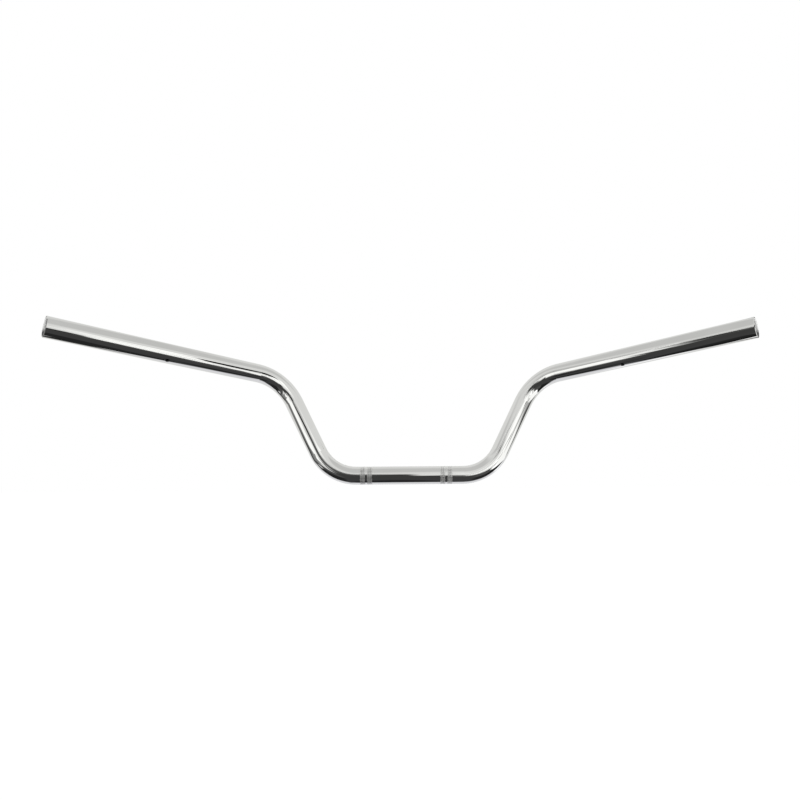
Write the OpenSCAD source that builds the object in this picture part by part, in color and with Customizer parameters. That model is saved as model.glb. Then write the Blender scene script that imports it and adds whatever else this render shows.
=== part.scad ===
// Motorcycle handlebar: one bent, knurled and drilled steel tube.
// X runs along the clamp section to the rider's right, Y points forward and Z up.
// The origin is on the tube's axis, in the middle of the clamp section.

/* [Tube] */
// Outside diameter of the tube
tube_diameter = 22.2; // [19:0.1:28.6]
// Thickness of the tube's wall
wall_thickness = 2; // [1.5:0.1:3.5]
// Chamfer round the outer and inner edge of each end
end_chamfer = 0.5; // [0.2:0.1:0.7]
// How much thinner the tube is in the bends, inside and out
bend_shrink = 0.04; // [0.03:0.01:0.1]

/* [Shape] */
// Distance between the two grip ends, measured on the tube's axis
overall_width = 714; // [640:1:900]
// Height of the grip ends above the clamp section
rise = 156; // [90:1:220]
// Distance of the grip ends behind the clamp section
pullback = 159; // [80:1:220]
// Distance between the lower corners, where the clamp section would meet the risers if the bends were sharp
lower_corner_width = 200; // [180:1:240]
// Distance between the upper corners, where the risers would meet the grips if the bends were sharp
upper_corner_width = 318; // [280:1:360]
// Height of the upper corners above the clamp section
upper_corner_height = 122; // [100:1:150]
// Radius of each lower bend, on the tube's axis
lower_bend_radius = 53; // [40:1:60]
// Radius of each upper bend, on the tube's axis
upper_bend_radius = 55; // [40:1:65]

/* [Knurling] */
// Distance between the middles of the two pairs of knurled bands
knurl_pair_spacing = 99.4; // [60:0.1:110]
// Shift of all bands along the tube from its middle, toward the rider's right
knurl_shift = -4.3; // [-6:0.1:6]
// Width of one knurled band
knurl_band_width = 6; // [4:0.1:8]
// Plain gap between the two bands of a pair
knurl_band_gap = 2.8; // [1:0.1:4]
// Distance between grooves, round the tube and along it
knurl_pitch = 2; // [1.6:0.1:3]
// Depth of the grooves
knurl_depth = 0.35; // [0.1:0.05:0.5]

/* [Locating holes] */
// Diameter of the hole for the peg of each switch housing
locating_hole_diameter = 4.6; // [3:0.1:7]
// Distance of the right hole from its grip end, along the tube
right_hole_from_end = 140; // [60:1:160]
// Distance of the left hole from its grip end, along the tube
left_hole_from_end = 116; // [60:1:160]
// Turn of both holes round the tube, from straight down toward the rider
locating_hole_turn = 36.4; // [0:0.1:90]

/* [Hidden] */
$fn = 96;
chrome_colour = [0.78, 0.79, 0.80];

// Small overlap of cutting tools with the surface that they cut
eps = 0.01;
// How far each straight reaches over the ends of the bends beside it
lap = 0.8;

tube_radius = tube_diameter / 2;
bore_diameter = tube_diameter - 2 * wall_thickness;
// Both edges of an end are chamfered, and a flat rim at least as wide as a chamfer stays between them
chamfer = min(end_chamfer, wall_thickness / 3);

// The number of grooves round the tube divides by four, so that all four quarters are alike
grooves_around = 4 * round(PI * tube_diameter / knurl_pitch / 4);
knurl_rows = max(2, round(knurl_band_width / knurl_pitch));

// The right half of the tube's axis, as a line with two sharp corners
lower_corner = [lower_corner_width / 2, 0, 0];
upper_corner = [upper_corner_width / 2, 0, upper_corner_height];
grip_end = [overall_width / 2, -pullback, rise];

function unit(v) = v / norm(v);

riser_direction = unit(upper_corner - lower_corner);
grip_direction = unit(grip_end - upper_corner);

// How far each bend turns, and how much of the lines beside it the bend takes up
lower_bend_angle = acos(riser_direction[0]);
upper_bend_angle = acos(riser_direction * grip_direction);
lower_bend_reach = lower_bend_radius * tan(lower_bend_angle / 2);
upper_bend_reach = upper_bend_radius * tan(upper_bend_angle / 2);

clamp_half_length = lower_corner[0] - lower_bend_reach;
riser_length = norm(upper_corner - lower_corner) - lower_bend_reach - upper_bend_reach;
grip_length = norm(grip_end - upper_corner) - upper_bend_reach;

// The bender turns the tube about its own axis by this much between the two bends
riser_side = [riser_direction[2], 0, -riser_direction[0]];
upper_bend_twist = atan2(-grip_direction[1], -(grip_direction * riser_side));

// Where "down" and "toward the rider" lie round the grip, whose own X and Y are these two directions
bend_side = cos(upper_bend_twist) * riser_side + sin(upper_bend_twist) * [0, 1, 0];
grip_x = cos(upper_bend_angle) * bend_side + sin(upper_bend_angle) * riser_direction;
grip_y = cross(grip_direction, grip_x);
down_angle = atan2(-grip_y[2], -grip_x[2]);
rider_sense = sign(cross([grip_x[2], grip_y[2]], [grip_x[1], grip_y[1]]));

// Moves its children to the end of a bend that starts at the origin, heads along +Z and turns toward -X
module after_bend(radius, angle) {
    translate([-radius, 0, 0]) rotate([0, -angle, 0]) translate([radius, 0, 0]) children();
}

// A bend is a little thinner than the straights beside it, which lap over its ends
module bend(diameter, radius, angle) {
    translate([-radius, 0, 0]) rotate([90, 0, 0])
        rotate_extrude(angle = angle) translate([radius, 0]) circle(d = diameter - bend_shrink);
}

// A straight of a given length that starts at the origin, with its laps
module straight(diameter, length) {
    translate([0, 0, -lap]) cylinder(d = diameter, h = length + 2 * lap);
}

// Puts its children at the start of each grip's straight, heading along +Z to the end of the tube
module at_grip() {
    rotate([0, 90, 0]) translate([0, 0, clamp_half_length])
        after_bend(lower_bend_radius, lower_bend_angle) translate([0, 0, riser_length])
            rotate([0, 0, upper_bend_twist]) after_bend(upper_bend_radius, upper_bend_angle)
                children();
}

// The bends and the riser of the right side, as solid rod
module right_side(diameter) {
    rotate([0, 90, 0]) translate([0, 0, clamp_half_length]) {
        bend(diameter, lower_bend_radius, lower_bend_angle);
        after_bend(lower_bend_radius, lower_bend_angle) {
            straight(diameter, riser_length);
            translate([0, 0, riser_length]) rotate([0, 0, upper_bend_twist])
                bend(diameter, upper_bend_radius, upper_bend_angle);
        }
    }
}

module clamp_rod(diameter) {
    rotate([0, 90, 0]) translate([0, 0, -clamp_half_length]) straight(diameter, 2 * clamp_half_length);
}

module both_sides() {
    for (side = [0, 1]) mirror([side, 0, 0]) children();
}

module outside() {
    clamp_rod(tube_diameter);
    both_sides() {
        right_side(tube_diameter);
        at_grip() {
            translate([0, 0, -lap]) cylinder(d = tube_diameter, h = lap + grip_length - chamfer);
            translate([0, 0, grip_length - chamfer])
                cylinder(d1 = tube_diameter, d2 = tube_diameter - 2 * chamfer, h = chamfer);
        }
    }
}

module inside() {
    clamp_rod(bore_diameter);
    both_sides() {
        right_side(bore_diameter);
        at_grip() {
            straight(bore_diameter, grip_length);
            translate([0, 0, grip_length - chamfer])
                cylinder(d1 = bore_diameter, d2 = bore_diameter + 4 * chamfer, h = 2 * chamfer);
        }
    }
}

// Puts its children in the middle of each knurled band
module at_bands() {
    offset_in_pair = (knurl_band_width + knurl_band_gap) / 2;
    for (pair = [-1, 1]) for (step = [-1, 1])
        translate([knurl_shift + pair * knurl_pair_spacing / 2 + step * offset_in_pair, 0, 0]) children();
}

// Grooves along the tube. Like those round it, they are cut down from the surface, so the crests stay at full size
module grooves_along() {
    side = knurl_depth * sqrt(2);
    for (i = [0:grooves_around - 1]) rotate([i * 360 / grooves_around, 0, 0])
        translate([0, 0, tube_radius]) rotate([45, 0, 0]) cube([knurl_band_width, side, side], center = true);
}

module grooves_round() {
    groove_half_width = knurl_depth + eps;
    for (row = [1:knurl_rows - 1]) translate([(row / knurl_rows - 0.5) * knurl_band_width, 0, 0])
        rotate([0, 90, 0]) rotate_extrude() translate([tube_radius + eps, 0])
            polygon([[-groove_half_width, 0], [0, groove_half_width], [0, -groove_half_width]]);
}

// Drills one wall of the grip section, on the side that faces down and toward the rider
module locating_hole(from_end) {
    at_grip() translate([0, 0, grip_length - from_end])
        rotate([0, 0, down_angle + rider_sense * locating_hole_turn]) rotate([0, 90, 0])
            cylinder(d = locating_hole_diameter, h = tube_diameter);
}

module handlebar() {
    color(chrome_colour) difference() {
        outside();
        inside();
        at_bands() grooves_along();
        at_bands() grooves_round();
        locating_hole(right_hole_from_end);
        mirror([1, 0, 0]) locating_hole(left_hole_from_end);
    }
}

handlebar();
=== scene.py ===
import math

import bpy
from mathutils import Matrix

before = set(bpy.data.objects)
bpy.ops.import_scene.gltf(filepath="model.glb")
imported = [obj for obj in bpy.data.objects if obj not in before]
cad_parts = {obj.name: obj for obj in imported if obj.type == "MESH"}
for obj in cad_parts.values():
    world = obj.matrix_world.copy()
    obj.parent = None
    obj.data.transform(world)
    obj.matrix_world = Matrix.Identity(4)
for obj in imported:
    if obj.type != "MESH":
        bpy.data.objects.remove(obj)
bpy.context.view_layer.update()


# ---------------------------------------------------------------- node helpers

class Net:
    """Short calls for making the shader nodes of a material or a world."""

    def __init__(self, owner):
        owner.use_nodes = True
        self.tree = owner.node_tree
        self.tree.nodes.clear()

    def put(self, socket, value):
        if isinstance(value, bpy.types.NodeSocket):
            self.tree.links.new(value, socket)
        else:
            socket.default_value = value

    def node(self, kind, *values, **settings):
        """Makes a node, with these values or links in its first inputs."""
        made = self.tree.nodes.new(kind)
        for key, value in settings.items():
            setattr(made, key, value)
        for socket, value in zip(made.inputs, values):
            self.put(socket, value)
        return made

    def fill(self, node, values):
        """Puts values or links into a node's inputs, by their names."""
        for name, value in values.items():
            self.put(node.inputs[name], value)
        return node

    def show(self, shader, output="ShaderNodeOutputMaterial"):
        """Makes a shader node the surface of the material or the world."""
        self.node(output, shader.outputs[0])

    def place(self):
        """The place in the object's own space, in metres."""
        return self.node("ShaderNodeTexCoord").outputs["Object"]

    def math(self, operation, *values):
        return self.node("ShaderNodeMath", *values, operation=operation).outputs[0]

    def vector(self, operation, *values, out="Vector"):
        return self.node("ShaderNodeVectorMath", *values, operation=operation).outputs[out]

    def scale(self, vector, factor):
        scaled = self.node("ShaderNodeVectorMath", vector, operation="SCALE")
        return self.fill(scaled, {"Scale": factor}).outputs["Vector"]

    def split(self, vector):
        return self.node("ShaderNodeSeparateXYZ", vector).outputs[:]

    def join(self, x, y, z):
        return self.node("ShaderNodeCombineXYZ", x, y, z).outputs[0]

    def ramp(self, value, low, high, to_low=0.0, to_high=1.0):
        """Runs smoothly from to_low at low to to_high at high."""
        ends = (low, high, to_low, to_high)
        return self.node("ShaderNodeMapRange", value, *ends, interpolation_type="SMOOTHSTEP").outputs[0]

    def below(self, value, low, high):
        """1 where the value is less than low, and 0 where it is more than high."""
        return self.ramp(value, low, high, 1.0, 0.0)

    def within(self, value, low, high, soft):
        """1 between low and high, and 0 outside, with edges this soft."""
        rise = self.ramp(value, low - soft, low + soft)
        fall = self.below(value, high - soft, high + soft)
        return self.math("MULTIPLY", rise, fall)

    def noise(self, place, scale, detail):
        values = {"Vector": place, "Scale": scale, "Detail": detail}
        return self.fill(self.node("ShaderNodeTexNoise"), values).outputs["Fac"]

    def mix(self, mask, first, second):
        """The first colour where the mask is 0, and the second where it is 1."""
        mixed = self.node("ShaderNodeMix", mask, data_type="RGBA")
        self.put(mixed.inputs[6], first)
        self.put(mixed.inputs[7], second)
        return mixed.outputs[2]


def grey(level):
    return (level, level, level, 1)


# ---------------------------------------------------------------- camera

camera_data = bpy.data.cameras.new("camera")
camera_data.sensor_width = 36.0
camera_data.lens = 27.0
camera_data.shift_x = -0.0449
camera_data.shift_y = 0.0159
camera_data.clip_start = 0.01
camera_data.clip_end = 100.0
camera = bpy.data.objects.new("camera", camera_data)
camera.location = (0.0058, -0.7562, 0.0370)
camera.rotation_euler = [math.radians(a) for a in (93.13, 0.35, -2.06)]
bpy.context.scene.collection.objects.link(camera)
bpy.context.scene.camera = camera

# ---------------------------------------------------------------- chrome

# Sizes of the part, in metres
TUBE_RADIUS = 0.0111
GRIP_END = (0.357, -0.159, 0.156)
GRIP_DIRECTION = (0.77282, -0.62060, 0.13271)
KNURL_MIDDLES = (-0.0584, -0.0496, 0.0410, 0.0498)
KNURL_HALF_WIDTH = 0.0030
KNURL_EDGE = 0.0001

# Where one look gives way to the next, in metres: the first two by the distance from the tube's axis, the
# next two by the place along the grip, 0 at its end, and the last by the height above the grip's axis
GROOVE_TO_CREST = (TUBE_RADIUS - 0.00030, TUBE_RADIUS - 0.00005)
BORE_TO_WALL = (0.0098, 0.0102)
BEND_TO_GRIP = (-0.235, -0.230)
# Painted shade: the bore darkens deeper in from its mouth over this span
DEPTH_TO_MOUTH = (-0.016, -0.002)
# Painted shade: the bore's mouth darkens towards its lower side over this span
BOTTOM_TO_TOP = (-0.005, 0.001)

# Colours. A pair is mixed by the haze or the grain
PLATE = (grey(0.80), grey(0.86))
KNURL_CREST = (grey(0.80), grey(0.98))
# Painted shade: the darker colour of the knurl grooves
KNURL_GROOVE_SHADE = grey(0.60)
BORE_MOUTH = ((0.86, 0.86, 0.85, 1), (0.95, 0.95, 0.94, 1))
# Painted shade: the bore's colour deeper in
BORE_DEPTH_SHADE = (0.14, 0.13, 0.12, 1)
# Painted shade: the bore's colour on its lower side near the mouth
BORE_BOTTOM_SHADE = grey(0.10)
BORE_METALLIC = 0.15

# The plate's roughness follows the haze, and it is rougher on the bands and in the bore
HAZE_RANGE = (0.35, 0.65)
PLATE_ROUGHNESS = (0.025, 0.05)
KNURL_ROUGHNESS = 0.34
BORE_ROUGHNESS = 0.60

# Scale and detail of each noise
HAZE = (45.0, 4.0)
GRAIN = (900.0, 2.0)
RIPPLE = (130.0, 2.0)
RIPPLE_STRENGTH = 0.05
RIPPLE_HEIGHT = 0.0002

chrome = bpy.data.materials.new("chrome_plate")
net = Net(chrome)
place = net.place()
px, py, pz = net.split(place)

# The knurled bands lie along the clamp section, and their grooves nearer the axis than their crests; the
# grooves get a darker colour, which is painted shade
bands = 0.0
for middle in KNURL_MIDDLES:
    band = net.within(px, middle - KNURL_HALF_WIDTH, middle + KNURL_HALF_WIDTH, KNURL_EDGE)
    bands = net.math("ADD", bands, band)
from_axis = net.vector("LENGTH", net.join(0.0, py, pz), out="Value")
shaded_grooves = net.math("MULTIPLY", bands, net.below(from_axis, *GROOVE_TO_CREST))

# The inside of the tube, by the distance from the grip's axis, is bare steel, with painted shade deeper in
# and on its lower side
from_end = net.vector("SUBTRACT", net.join(net.math("ABSOLUTE", px), py, pz), GRIP_END)
along = net.vector("DOT_PRODUCT", from_end, GRIP_DIRECTION, out="Value")
off_axis = net.vector("SUBTRACT", from_end, net.scale(GRIP_DIRECTION, along))
near_axis = net.below(net.vector("LENGTH", off_axis, out="Value"), *BORE_TO_WALL)
inside = net.math("MULTIPLY", near_axis, net.ramp(along, *BEND_TO_GRIP))

haze = net.noise(place, *HAZE)
grain = net.noise(place, *GRAIN)
plate = net.mix(haze, *PLATE)
plate = net.mix(bands, plate, net.mix(grain, *KNURL_CREST))
# Painted shade darkens the knurl grooves
plate = net.mix(shaded_grooves, plate, KNURL_GROOVE_SHADE)
bore_steel_and_shade = net.mix(grain, *BORE_MOUTH)
# Painted shade: the bore turns dark deeper in from its mouth
bore_steel_and_shade = net.mix(net.below(along, *DEPTH_TO_MOUTH), bore_steel_and_shade, BORE_DEPTH_SHADE)
# Painted shade: the bore's mouth is darker on its lower side
bore_steel_and_shade = net.mix(net.below(net.split(off_axis)[2], *BOTTOM_TO_TOP), bore_steel_and_shade, BORE_BOTTOM_SHADE)

rough = net.ramp(haze, *HAZE_RANGE, *PLATE_ROUGHNESS)
rough = net.math("MAXIMUM", rough, net.math("MULTIPLY", bands, KNURL_ROUGHNESS))
rough = net.math("MAXIMUM", rough, net.math("MULTIPLY", inside, BORE_ROUGHNESS))

bump = net.fill(net.node("ShaderNodeBump"), {
    "Strength": RIPPLE_STRENGTH,
    "Distance": RIPPLE_HEIGHT,
    "Height": net.noise(place, *RIPPLE),
})
net.show(net.fill(net.node("ShaderNodeBsdfPrincipled"), {
    "Base Color": net.mix(inside, plate, bore_steel_and_shade),
    "Metallic": net.ramp(inside, 0.0, 1.0, 1.0, BORE_METALLIC),
    "Roughness": rough,
    "Normal": bump.outputs[0],
}))

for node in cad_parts.values():
    node.data.materials.clear()
    node.data.materials.append(chrome)

# ---------------------------------------------------------------- studio

# A dome of panels, which only reflections see, stands for the light tent of the photograph: light grey
# above, white panels low on both sides and a dark opening below the lens.
# A place on the dome is given in degrees off the camera's side (-Y): u to the right and w up.
# Each panel has a name, a tone, an opacity and its edges, and is painted over the panels before it.
# An edge is an angle, a distance and a softness, and keeps what is nearer than the distance along that angle.
# With "in" or "out" in place of the angle, it keeps what is inside or outside a circle round the middle.
DOME_MIDDLE = (0.0, -0.06, 0.06)
DOME_RADIUS = 0.56
DOME_TONE = 211
CHROME_REFLECTS = 0.83
NOT_ZERO = 1e-5
PANELS = [
    ("pale middle high", 189, 1.0,
     [(-143, -4.4, 12.0), (41, 102.4, 1.2), (-62, -36.0, 7.0), (94, 109.5, 12.0)]),
    ("white right level", 275, 1.0,
     [(-158, -4.1, 1.2), (-43, 14.3, 1.7), (-90, -8.7, 0.6), (114, 8.3, 1.8)]),
    ("white right level 2", 255, 1.0,
     [(-175, -15.7, 7.0), (-3, 46.4, 1.0), (-95, 11.9, 0.7), (59, 30.4, 7.0)]),
    ("pale left level", 180, 1.0,
     [(-168, 55.1, 7.0), (8, -21.6, 0.7), (-85, 22.5, 0.6), (37, -13.5, 12.0)]),
    ("white left level", 251, 1.0,
     [(-149, 89.6, 0.7), (-2, -26.9, 0.7), (-77, 15.2, 0.6), (116, 35.4, 0.8)]),
    ("dark right level", 4, 1.0, [(-175, -42.5, 1.2), (-28, 47.1, 1.4), (-89, 3.6, 0.7), (91, 21.4, 0.8)]),
    ("white right low", 250, 1.0,
     [(-140, -13.9, 0.6), (22, 69.3, 1.5), (-93, 75.4, 2.5), (94, -15.5, 1.1)]),
    ("white middle low", 275, 1.0,
     [(69, -19.4, 0.9), ("in", 82.6, 0.6), (170, 22.5, 0.7), (89, -12.9, 0.6)]),
    ("grey left low", 143, 1.0, [(104, -6.2, 0.6), (-44, -21.7, 0.9), (-169, 85.0, 0.6), (97, 9.3, 1.9)]),
    ("dark right level 2", 30, 0.9, [(32, 71.9, 6.2), (-119, -20.9, 3.9), (95, -16.5, 12.0)]),
    ("dark left level", 69, 0.9, [(-174, 92.0, 1.3), (-15, -62.8, 2.6), (-82, 64.3, 0.6), (83, 27.3, 0.6)]),
    ("dark right level 3", 37, 1.0, [("out", 79.6, 3.2), ("in", 105.6, 1.2), (-176, -91.1, 1.1)]),
    ("dark left low", 4, 1.0,
     [("out", 91.4, 1.1), ("in", 105.3, 0.6), (-13, -29.0, 4.9), (150, 71.3, 7.0), (74, -35.2, 3.5)]),
    ("dark left level 2", 48, 1.0, [(92, 16.4, 0.6), (-156, 27.8, 0.6), (-40, -11.2, 2.2)]),
    ("grey left low 2", 123, 0.9, [(98, -19.2, 0.9), (-57, -1.2, 2.7), (-137, 92.7, 0.6)]),
    ("dark middle low", 35, 1.0, [(76, -6.9, 0.6), (120, -11.4, 3.2), (34, 16.5, 1.3), ("in", 104.4, 5.6)]),
    ("dark middle low 2", 72, 1.0, [(104, -21.9, 1.5), (21, 29.9, 4.7), (49, 58.9, 6.7), (-96, 53.5, 0.6)]),
    ("dark middle low 3", 58, 1.0,
     [(78, -19.9, 3.7), ("in", 100.2, 0.9), (11, 15.4, 6.5), (-147, 38.6, 0.8)]),
    ("dark left low 2", 57, 1.0, [(172, 20.0, 4.4), (3, 0.6, 2.1), (-38, 37.4, 7.0), (123, 11.4, 7.0)]),
    ("white right level 3", 275, 1.0,
     [(-171, -11.0, 1.4), (-25, 46.1, 1.5), (-106, 13.0, 0.9), (77, -8.3, 0.6)]),
    ("dark left high", 4, 1.0, [(-160, 39.9, 6.2), (-16, -13.5, 2.7), (-85, -22.5, 0.6), (91, 22.5, 0.6)]),
    ("white right low 2", 239, 1.0,
     [(-137, 1.6, 7.0), (-22, 51.9, 1.0), (-106, 20.5, 0.6), (74, -14.6, 0.8)]),
    ("dark right level 4", 4, 1.0, [(147, -6.3, 2.1), (-10, 47.9, 4.0), (-102, 1.3, 0.6), (80, -1.6, 0.7)]),
    ("pale right level", 217, 1.0, [(-143, 4.7, 1.1), (-6, 31.8, 0.9), (-95, -11.0, 1.0), (90, 14.5, 0.6)]),
    ("grey right level", 124, 1.0,
     [(-175, -53.3, 3.4), (11, 57.1, 4.3), (-87, 23.2, 2.5), (99, -14.3, 0.6)]),
    ("pale left level 2", 211, 1.0,
     [(-175, 42.4, 1.2), (8, -25.0, 7.0), (-91, -5.8, 0.6), (64, -1.2, 0.7)]),
    ("grey left level", 126, 1.0, [(-155, 38.7, 0.6), (22, -29.0, 0.6), (-89, 6.0, 1.0), (91, -3.3, 3.2)]),
    ("white right low 3", 275, 1.0,
     [(-165, -32.8, 0.6), (-30, 67.5, 0.6), (-79, 55.5, 0.8), (88, -34.9, 0.6)]),
    ("dark left low 3", 60, 1.0, [(-180, 102.0, 3.0), (0, -85.0, 3.0), (90, -29.0, 3.0), (-90, 54.0, 5.0)]),
    ("pale left level 3", 215, 0.9, [(-180, 34.0, 2.0), (0, -25.0, 4.0), (90, 3.0, 3.0), (-90, 9.0, 3.0)]),
    ("dark right low", 25, 1.0, [("in", 107.0, 4.0), (-180, -52.0, 4.0), (90, -50.0, 2.5)]),
    ("behind", 55, 1.0, [("out", 157.0, 5.0), (90, 10.0, 20.0)]),
]

# The light runs from a cooler tint low down to a warmer one high up, by w
LOW_TINT = (0.995, 0.998, 1.02, 1)
HIGH_TINT = (1.0, 1.003, 0.975, 1)
LOW_TO_HIGH = (-100.0, -20.0)


def tone(level):
    """The light that makes chrome show this 8-bit tone."""
    share = level / 255
    linear = share / 12.92 if share < 0.04045 else ((share + 0.055) / 1.055) ** 2.4
    return linear / CHROME_REFLECTS


panels = bpy.data.materials.new("tent_panels")
net = Net(panels)
dx, dy, dz = net.split(net.vector("NORMALIZE", net.place()))
off = net.math("MULTIPLY", net.math("ARCCOSINE", net.math("MULTIPLY", dy, -1.0)), math.degrees(1.0))
flat = net.math("SQRT", net.math("ADD", net.math("MULTIPLY", dx, dx), net.math("MULTIPLY", dz, dz)))
flat = net.math("MAXIMUM", flat, NOT_ZERO)
u = net.math("DIVIDE", net.math("MULTIPLY", off, dx), flat)
w = net.math("DIVIDE", net.math("MULTIPLY", off, dz), flat)


def kept(where, distance, soft):
    """1 on the side of an edge that it keeps, and 0 on the other."""
    ends = (distance - soft, distance + soft)
    if where == "in":
        return net.below(off, *ends)
    if where == "out":
        return net.ramp(off, *ends)
    turn = math.radians(where)
    across = net.math("MULTIPLY", w, math.sin(turn))
    return net.below(net.math("MULTIPLY_ADD", u, math.cos(turn), across), *ends)


light = tone(DOME_TONE)
for name, level, opacity, edges in PANELS:
    mask = opacity
    for edge in edges:
        mask = net.math("MULTIPLY", kept(*edge), mask)
    mask.node.label = name
    shift = net.math("MULTIPLY", mask, net.math("SUBTRACT", tone(level), light))
    light = net.math("ADD", light, shift)
tint = net.mix(net.ramp(w, *LOW_TO_HIGH), LOW_TINT, HIGH_TINT)
net.show(net.node("ShaderNodeEmission", tint, light))

bpy.ops.mesh.primitive_uv_sphere_add(segments=128, ring_count=64, radius=DOME_RADIUS, location=DOME_MIDDLE)
dome = bpy.context.object
dome.name = "tent"
dome.data.materials.append(panels)
for rays in ("camera", "diffuse", "transmission", "volume_scatter", "shadow"):
    setattr(dome, "visible_" + rays, False)

world = bpy.data.worlds.new("studio")
bpy.context.scene.world = world
net = Net(world)
net.show(net.node("ShaderNodeBackground", grey(1)), "ShaderNodeOutputWorld")

# ---------------------------------------------------------------- floor

FLOOR_SIZE = 16.0
FLOOR_HEIGHT = -0.6
FLOOR_GREY = 0.9
FLOOR_GLOW = 0.14

bpy.ops.mesh.primitive_plane_add(size=FLOOR_SIZE, location=(0.0, 0.0, FLOOR_HEIGHT))
floor = bpy.context.object
floor.name = "floor"
floor.visible_glossy = False
paint = bpy.data.materials.new("pale_floor")
net = Net(paint)
matte = net.node("ShaderNodeBsdfDiffuse", grey(FLOOR_GREY))
glow = net.fill(net.node("ShaderNodeEmission"), {"Strength": FLOOR_GLOW})
net.show(net.node("ShaderNodeAddShader", matte.outputs[0], glow.outputs[0]))
floor.data.materials.append(paint)

bpy.context.scene.view_settings.view_transform = "Standard"
